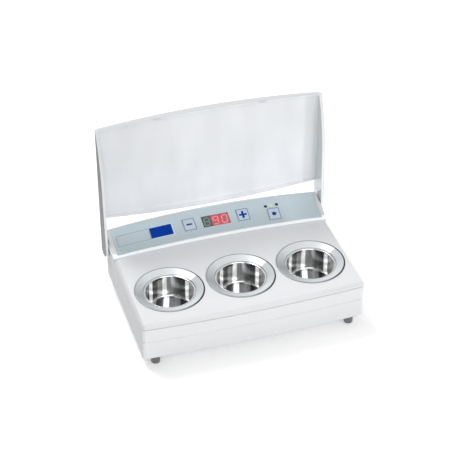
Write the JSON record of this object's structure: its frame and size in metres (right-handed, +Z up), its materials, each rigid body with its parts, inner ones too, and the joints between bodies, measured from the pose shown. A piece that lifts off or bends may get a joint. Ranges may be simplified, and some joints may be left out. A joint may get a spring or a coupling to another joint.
{
  "type": "dental wax heater",
  "caption": "Bench wax heater with three heated wells holding lift-out pots, a sloping control console with display and keys, and a hinged lid.",
  "frame": {"origin": "middle of the bounding box's bottom face, on the table, with the lid open", "axes": "+X to the right, +Y to the back, +Z up, as seen from the control side"},
  "size_m": [0.271, 0.183, 0.2143],
  "materials": {
    "white_plastic": "glossy moulded plastic, fine grain",
    "ring_plastic": "satin blue-grey",
    "pot_steel": "polished stainless, faint vertical streaks",
    "well_alloy": "turned",
    "heater_steel": "brushed",
    "insulation": "matt",
    "panel_film": "satin printed film",
    "window": "dark tinted",
    "dark_plastic": "matt",
    "board": "lacquered",
    "copper": "lacquered wire",
    "lamp": "clear tinted",
    "key_plastic": "satin",
    "rubber": "matt",
    "bumper_rubber": "matt",
    "fastener": "zinc plated",
    "hinge_plastic": "satin"
  },
  "bodies": {
    "housing": {"base_pan": "white_plastic", "top_shell": "white_plastic", "rear_plate": "dark_plastic", "mains_inlet": "dark_plastic", "inlet_pins": "fastener", "pot_plate": "heater_steel", "plate_screws": "fastener", "housing_screws": "fastener", "control_overlay": "panel_film", "display_window": "window", "display_module": "dark_plastic", "control_board": "board", "tactile_switches": "dark_plastic", "indicator_leds": "lamp", "board_screws": "fastener", "power_board": "board", "transformer": "copper", "relays": "dark_plastic", "fuse": "window", "power_board_screws": "fastener", "hinge_bush_left": "hinge_plastic", "hinge_bush_right": "hinge_plastic", "foot_front_left": "rubber", "foot_front_right": "rubber", "foot_rear_left": "rubber", "foot_rear_right": "rubber", "funnel_ring_left": "ring_plastic", "funnel_ring_middle": "ring_plastic", "funnel_ring_right": "ring_plastic", "heating_well_left": "well_alloy", "heating_well_middle": "well_alloy", "heating_well_right": "well_alloy", "band_heater_left": "heater_steel", "band_heater_middle": "heater_steel", "band_heater_right": "heater_steel", "well_support_left": "insulation", "well_support_middle": "insulation", "well_support_right": "insulation", "temperature_sensor_left": "dark_plastic", "temperature_sensor_middle": "dark_plastic", "temperature_sensor_right": "dark_plastic"},
    "lid": {"lid": "white_plastic", "lid_bumpers": "bumper_rubber", "hinge_pin_left": "heater_steel", "hinge_pin_right": "heater_steel"},
    "pot_left": {"wax_pot_left": "pot_steel"},
    "pot_middle": {"wax_pot_middle": "pot_steel"},
    "pot_right": {"wax_pot_right": "pot_steel"},
    "key_minus": {"key_minus": "key_plastic"},
    "key_plus": {"key_plus": "key_plastic"},
    "key_select": {"key_select": "key_plastic"}
  },
  "joints": [
    {"name": "lid_hinge", "type": "hinge", "parent": "housing", "child": "lid", "pos_m": [0, 0.072, 0.055], "axis": [-1, 0, 0], "range_deg": [-91.2, 0]},
    {"name": "pot_left_lift", "type": "slide", "parent": "housing", "child": "pot_left", "axis": [0, 0, 1], "range_m": [0, 0.06]},
    {"name": "pot_middle_lift", "type": "slide", "parent": "housing", "child": "pot_middle", "axis": [0, 0, 1], "range_m": [0, 0.06]},
    {"name": "pot_right_lift", "type": "slide", "parent": "housing", "child": "pot_right", "axis": [0, 0, 1], "range_m": [0, 0.06]},
    {"name": "key_minus_press", "type": "slide", "parent": "housing", "child": "key_minus", "axis": [0, 0.3096, -0.9509], "range_m": [0, 0.0004], "stiffness_N_per_m": 1500, "springref_m": -0.0001},
    {"name": "key_plus_press", "type": "slide", "parent": "housing", "child": "key_plus", "axis": [0, 0.3096, -0.9509], "range_m": [0, 0.0004], "stiffness_N_per_m": 1500, "springref_m": -0.0001},
    {"name": "key_select_press", "type": "slide", "parent": "housing", "child": "key_select", "axis": [0, 0.3096, -0.9509], "range_m": [0, 0.0004], "stiffness_N_per_m": 1500, "springref_m": -0.0001}
  ]
}
